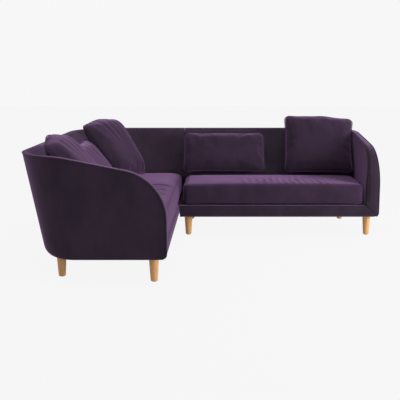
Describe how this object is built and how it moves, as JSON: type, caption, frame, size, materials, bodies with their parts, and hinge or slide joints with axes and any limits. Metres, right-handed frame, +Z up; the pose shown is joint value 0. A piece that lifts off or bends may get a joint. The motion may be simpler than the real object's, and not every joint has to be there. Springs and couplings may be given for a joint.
{
  "type": "corner sofa",
  "caption": "Corner sofa in two upholstered modules with a curved leaning back, swept arms, loose seat and scatter cushions, and tapered round wooden legs.",
  "frame": {"origin": "middle of the bounding box at floor level", "axes": "+X along the long wall from the corner module towards the free arm, +Y towards that wall, +Z up"},
  "size_m": [2.523, 2.204, 0.9003],
  "materials": {
    "velvet_cushion": "satin",
    "zinc_steel": "satin",
    "velvet_cover": "satin",
    "beech_frame": "matte",
    "plywood": "matte",
    "deck_cloth": "matte",
    "dust_cloth": "matte",
    "oak_leg": "satin",
    "foam_core": "matte",
    "velvet_seat": "satin",
    "webbing": "matte",
    "felt_glide": "matte"
  },
  "bodies": {
    "frame": {"joining_bolts": "zinc_steel", "joining_plates": "zinc_steel", "left_arm_border": "velvet_cover", "left_arm_cross_rail": "beech_frame", "left_arm_panel": "plywood", "left_arm_rail": "beech_frame", "left_back_head_rail": "beech_frame", "left_back_posts": "beech_frame", "left_corner_blocks": "beech_frame", "left_cross_rails": "beech_frame", "left_deck": "deck_cloth", "left_dust_cloth": "dust_cloth", "left_front_rail": "beech_frame", "left_inner_pad": "velvet_cover", "left_legs": "oak_leg", "left_outer_cover": "velvet_cover", "left_rail_border": "velvet_cover", "left_rear_rail": "beech_frame", "left_seat_rail": "beech_frame", "left_wall_head_rail": "beech_frame", "left_wall_posts": "beech_frame", "left_wall_rear_rail": "beech_frame", "left_wall_seat_rail": "beech_frame", "left_webbing": "webbing", "leg_bolts": "zinc_steel", "leg_glides": "felt_glide", "leg_plates": "zinc_steel", "right_arm_border": "velvet_cover", "right_arm_cross_rail": "beech_frame", "right_arm_panel": "plywood", "right_arm_rail": "beech_frame", "right_back_head_rail": "beech_frame", "right_back_posts": "beech_frame", "right_corner_blocks": "beech_frame", "right_cross_rails": "beech_frame", "right_deck": "deck_cloth", "right_dust_cloth": "dust_cloth", "right_front_rail": "beech_frame", "right_inner_pad": "velvet_cover", "right_joint_rail": "beech_frame", "right_legs": "oak_leg", "right_outer_cover": "velvet_cover", "right_rail_border": "velvet_cover", "right_rear_rail": "beech_frame", "right_seat_rail": "beech_frame", "right_webbing": "webbing"},
    "right_seat_cushion": {"right_seat_cushion_cover": "velvet_seat", "right_seat_cushion_core": "foam_core"},
    "left_seat_cushion": {"left_seat_cushion_cover": "velvet_seat", "left_seat_cushion_core": "foam_core"},
    "right_lumbar_cushion": {"right_lumbar_cushion": "velvet_cushion"},
    "right_square_cushion": {"right_square_cushion": "velvet_cushion"},
    "corner_square_cushion": {"corner_square_cushion": "velvet_cushion"},
    "left_lumbar_cushion": {"left_lumbar_cushion": "velvet_cushion"},
    "near_square_cushion": {"near_square_cushion": "velvet_cushion"}
  },
  "joints": [
    {"name": "right_seat_cushion_lift", "type": "slide", "parent": "frame", "child": "right_seat_cushion", "axis": [0, 0, 1], "range_m": [0, 0.6]},
    {"name": "left_seat_cushion_lift", "type": "slide", "parent": "frame", "child": "left_seat_cushion", "axis": [0, 0, 1], "range_m": [0, 0.6]},
    {"name": "right_lumbar_cushion_lift", "type": "slide", "parent": "right_seat_cushion", "child": "right_lumbar_cushion", "axis": [0, 0, 1], "range_m": [0, 0.6]},
    {"name": "right_square_cushion_lift", "type": "slide", "parent": "right_seat_cushion", "child": "right_square_cushion", "axis": [0, 0, 1], "range_m": [0, 0.6]},
    {"name": "corner_square_cushion_lift", "type": "slide", "parent": "left_seat_cushion", "child": "corner_square_cushion", "axis": [0, 0, 1], "range_m": [0, 0.6]},
    {"name": "left_lumbar_cushion_lift", "type": "slide", "parent": "left_seat_cushion", "child": "left_lumbar_cushion", "axis": [-0.6157, 0, 0.788], "range_m": [0, 0.6]},
    {"name": "near_square_cushion_lift", "type": "slide", "parent": "left_seat_cushion", "child": "near_square_cushion", "axis": [0, 0, 1], "range_m": [0, 0.6]}
  ]
}
